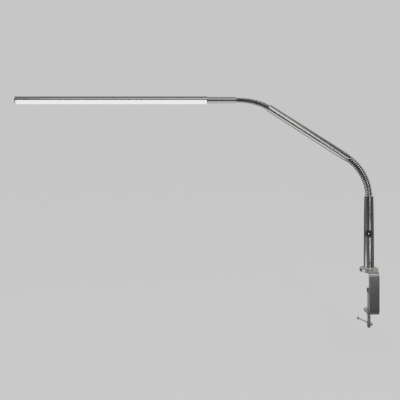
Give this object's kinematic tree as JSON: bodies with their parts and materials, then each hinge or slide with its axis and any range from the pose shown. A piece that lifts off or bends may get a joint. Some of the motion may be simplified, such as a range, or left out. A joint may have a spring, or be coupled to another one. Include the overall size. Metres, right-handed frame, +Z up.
{
  "type": "clamp-on slim LED lamp",
  "caption": "Clamp-on task lamp: slim straight LED head on a thin gooseneck, tube arm, ribbed gooseneck and post with push button, on a C-clamp with a tommy-bar screw.",
  "frame": {"origin": "centre of the upper jaw pad's underside, on the table top", "axes": "+Z up along the post, -X along the arm and head, +Y out of the clamp's throat"},
  "size_m": [1.0009, 0.0867, 0.6394],
  "materials": {
    "nickel": "polished satin nickel plate",
    "plated_steel": "bright nickel plate on steel",
    "coil_steel": "bright wound steel",
    "inner_steel": "turned steel",
    "head_metal": "drawn, satin, with fine lengthwise lines",
    "opal": "frosted opal acrylic, lit from inside",
    "rubber": "moulded black rubber",
    "nylon": "natural nylon",
    "black_gloss": "moulded gloss black",
    "black_matte": "moulded satin black",
    "pale_lens": "clear light window",
    "board": "green solder mask",
    "board_parts": "moulded components",
    "led_strip": "white solder mask on aluminium",
    "led": "phosphor windows",
    "lead": "two-core sheath"
  },
  "bodies": {
    "clamp": {"clamp_bracket": "nickel", "clamp_disc": "nickel", "disc_pad": "rubber", "spigot_bolt": "plated_steel", "post_spigot": "nickel", "swivel_washer": "nylon"},
    "screw_tip": {"pressure_cap": "rubber"},
    "screw": {"clamp_screw": "plated_steel"},
    "bar": {"tommy_bar": "plated_steel", "tommy_ball_near": "plated_steel", "tommy_ball_far": "plated_steel"},
    "post": {"post_collar": "nickel", "collar_set_screw": "plated_steel", "post_tube": "nickel", "post_ferrule": "nickel", "button_bezel": "black_matte", "switch_body": "black_matte", "driver_board": "board", "driver_parts": "board_parts", "board_holder": "nylon", "power_jack": "black_matte"},
    "button": {"button_cap": "black_gloss", "indicator_lens": "pale_lens"},
    "lower_coil_01": {"lower_coil_01": "coil_steel"},
    "lower_coil_02": {"lower_coil_02": "coil_steel"},
    "lower_coil_03": {"lower_coil_03": "coil_steel"},
    "lower_coil_04": {"lower_coil_04": "coil_steel"},
    "lower_coil_05": {"lower_coil_05": "coil_steel"},
    "lower_coil_06": {"lower_coil_06": "coil_steel"},
    "lower_coil_07": {"lower_coil_07": "coil_steel"},
    "lower_coil_08": {"lower_coil_08": "coil_steel"},
    "lower_coil_09": {"lower_coil_09": "coil_steel"},
    "lower_coil_10": {"lower_coil_10": "coil_steel"},
    "lower_coil_11": {"lower_coil_11": "coil_steel"},
    "middle_arm": {"middle_tube": "nickel", "middle_foot_plug": "inner_steel", "middle_top_plug": "inner_steel", "middle_lead": "lead"},
    "upper_coil_01": {"upper_coil_01": "coil_steel"},
    "upper_coil_02": {"upper_coil_02": "coil_steel"},
    "upper_coil_03": {"upper_coil_03": "coil_steel"},
    "upper_coil_04": {"upper_coil_04": "coil_steel"},
    "upper_coil_05": {"upper_coil_05": "coil_steel"},
    "upper_coil_06": {"upper_coil_06": "coil_steel"},
    "upper_coil_07": {"upper_coil_07": "coil_steel"},
    "upper_coil_08": {"upper_coil_08": "coil_steel"},
    "upper_coil_09": {"upper_coil_09": "coil_steel"},
    "neck": {"neck_tube": "nickel", "neck_ferrule": "inner_steel", "neck_spindle": "plated_steel", "roll_clip": "plated_steel"},
    "head": {"head_hub": "nickel", "head_shell": "head_metal", "diffuser": "opal", "led_board": "led_strip", "led_chips": "led", "end_cap": "nickel"}
  },
  "joints": [
    {"name": "screw_travel", "type": "slide", "parent": "clamp", "child": "screw_tip", "axis": [0, 0, 1], "range_m": [-0.0466, 0.0278]},
    {"name": "screw_turn", "type": "hinge", "parent": "screw_tip", "child": "screw", "pos_m": [0, 0, -0.1], "axis": [0, 0, 1], "range_deg": [-11196, 6696]},
    {"name": "bar_slide", "type": "slide", "parent": "screw", "child": "bar", "axis": [-0.4226, 0.9063, 0], "range_m": [-0.0318, 0]},
    {"name": "post_swivel", "type": "hinge", "parent": "clamp", "child": "post", "pos_m": [0, 0, 0.027], "axis": [0, 0, 1], "range_deg": [-180, 180]},
    {"name": "button_press", "type": "slide", "parent": "post", "child": "button", "axis": [0.342, 0.9397, 0], "range_m": [0, 0.0012], "stiffness_N_per_m": 500, "springref_m": -0.0015},
    {"name": "lower_bend_01", "type": "hinge", "parent": "post", "child": "lower_coil_01", "pos_m": [0, 0, 0.209], "axis": [0, -1, 0], "range_deg": [-9.58, 5]},
    {"name": "lower_side_02", "type": "hinge", "parent": "lower_coil_01", "child": "lower_coil_02", "pos_m": [-0.00092, 0, 0.21996], "axis": [0.9921, 0, 0.1251], "range_deg": [-7.5, 7.5]},
    {"name": "lower_bend_03", "type": "hinge", "parent": "lower_coil_02", "child": "lower_coil_03", "pos_m": [-0.00275, 0, 0.23081], "axis": [0, -1, 0], "range_deg": [-9.58, 5]},
    {"name": "lower_side_04", "type": "hinge", "parent": "lower_coil_03", "child": "lower_coil_04", "pos_m": [-0.00548, 0, 0.24146], "axis": [0.9575, 0, 0.2885], "range_deg": [-7.5, 7.5]},
    {"name": "lower_bend_05", "type": "hinge", "parent": "lower_coil_04", "child": "lower_coil_05", "pos_m": [-0.00909, 0, 0.25185], "axis": [0, -1, 0], "range_deg": [-9.58, 5]},
    {"name": "lower_side_06", "type": "hinge", "parent": "lower_coil_05", "child": "lower_coil_06", "pos_m": [-0.01356, 0, 0.26191], "axis": [0.8961, 0, 0.4439], "range_deg": [-7.5, 7.5]},
    {"name": "lower_bend_07", "type": "hinge", "parent": "lower_coil_06", "child": "lower_coil_07", "pos_m": [-0.01885, 0, 0.27155], "axis": [0, -1, 0], "range_deg": [-9.58, 5]},
    {"name": "lower_side_08", "type": "hinge", "parent": "lower_coil_07", "child": "lower_coil_08", "pos_m": [-0.02493, 0, 0.28072], "axis": [0.8097, 0, 0.5869], "range_deg": [-7.5, 7.5]},
    {"name": "lower_bend_09", "type": "hinge", "parent": "lower_coil_08", "child": "lower_coil_09", "pos_m": [-0.03175, 0, 0.28935], "axis": [0, -1, 0], "range_deg": [-9.58, 5]},
    {"name": "lower_side_10", "type": "hinge", "parent": "lower_coil_09", "child": "lower_coil_10", "pos_m": [-0.03927, 0, 0.29738], "axis": [0.7006, 0, 0.7135], "range_deg": [-7.5, 7.5]},
    {"name": "lower_bend_11", "type": "hinge", "parent": "lower_coil_10", "child": "lower_coil_11", "pos_m": [-0.04743, 0, 0.30475], "axis": [0, -1, 0], "range_deg": [-9.58, 5]},
    {"name": "lower_side_12", "type": "hinge", "parent": "lower_coil_11", "child": "middle_arm", "pos_m": [-0.05618, 0, 0.31141], "axis": [0.5721, 0, 0.8202], "range_deg": [-7.5, 7.5]},
    {"name": "upper_bend_01", "type": "hinge", "parent": "middle_arm", "child": "upper_coil_01", "pos_m": [-0.27715, 0, 0.45219], "axis": [0, -1, 0], "range_deg": [-9, 5.5]},
    {"name": "upper_side_02", "type": "hinge", "parent": "upper_coil_01", "child": "upper_coil_02", "pos_m": [-0.28618, 0, 0.45694], "axis": [0.432, 0, 0.9019], "range_deg": [-8, 8]},
    {"name": "upper_bend_03", "type": "hinge", "parent": "upper_coil_02", "child": "upper_coil_03", "pos_m": [-0.29554, 0, 0.46099], "axis": [0, -1, 0], "range_deg": [-9, 5.5]},
    {"name": "upper_side_04", "type": "hinge", "parent": "upper_coil_03", "child": "upper_coil_04", "pos_m": [-0.30516, 0, 0.46437], "axis": [0.3002, 0, 0.9539], "range_deg": [-8, 8]},
    {"name": "upper_bend_05", "type": "hinge", "parent": "upper_coil_04", "child": "upper_coil_05", "pos_m": [-0.31499, 0, 0.46711], "axis": [0, -1, 0], "range_deg": [-9, 5.5]},
    {"name": "upper_side_06", "type": "hinge", "parent": "upper_coil_05", "child": "upper_coil_06", "pos_m": [-0.32496, 0, 0.46926], "axis": [0.1847, 0, 0.9828], "range_deg": [-8, 8]},
    {"name": "upper_bend_07", "type": "hinge", "parent": "upper_coil_06", "child": "upper_coil_07", "pos_m": [-0.33503, 0, 0.47088], "axis": [0, -1, 0], "range_deg": [-9, 5.5]},
    {"name": "upper_side_08", "type": "hinge", "parent": "upper_coil_07", "child": "upper_coil_08", "pos_m": [-0.34517, 0, 0.472], "axis": [0.0892, 0, 0.996], "range_deg": [-8, 8]},
    {"name": "upper_bend_09", "type": "hinge", "parent": "upper_coil_08", "child": "upper_coil_09", "pos_m": [-0.35534, 0, 0.4727], "axis": [0, -1, 0], "range_deg": [-9, 5.5]},
    {"name": "upper_side_10", "type": "hinge", "parent": "upper_coil_09", "child": "neck", "pos_m": [-0.36554, 0, 0.47302], "axis": [0.0156, 0, 0.9999], "range_deg": [-8, 8]},
    {"name": "head_roll", "type": "hinge", "parent": "neck", "child": "head", "pos_m": [-0.45054, 0, 0.47302], "axis": [-1, 0, 0], "range_deg": [-90, 90]}
  ],
  "couplings": [
    {"joint": "screw_turn", "follows": "screw_travel", "rad_per_m": 4188.8},
    {"joint": "lower_bend_03", "follows": "lower_bend_01", "ratio": 1},
    {"joint": "lower_side_04", "follows": "lower_side_02", "ratio": 1},
    {"joint": "lower_bend_05", "follows": "lower_bend_01", "ratio": 1},
    {"joint": "lower_side_06", "follows": "lower_side_02", "ratio": 1},
    {"joint": "lower_bend_07", "follows": "lower_bend_01", "ratio": 1},
    {"joint": "lower_side_08", "follows": "lower_side_02", "ratio": 1},
    {"joint": "lower_bend_09", "follows": "lower_bend_01", "ratio": 1},
    {"joint": "lower_side_10", "follows": "lower_side_02", "ratio": 1},
    {"joint": "lower_bend_11", "follows": "lower_bend_01", "ratio": 1},
    {"joint": "lower_side_12", "follows": "lower_side_02", "ratio": 1},
    {"joint": "upper_bend_03", "follows": "upper_bend_01", "ratio": 1},
    {"joint": "upper_side_04", "follows": "upper_side_02", "ratio": 1},
    {"joint": "upper_bend_05", "follows": "upper_bend_01", "ratio": 1},
    {"joint": "upper_side_06", "follows": "upper_side_02", "ratio": 1},
    {"joint": "upper_bend_07", "follows": "upper_bend_01", "ratio": 1},
    {"joint": "upper_side_08", "follows": "upper_side_02", "ratio": 1},
    {"joint": "upper_bend_09", "follows": "upper_bend_01", "ratio": 1},
    {"joint": "upper_side_10", "follows": "upper_side_02", "ratio": 1}
  ]
}
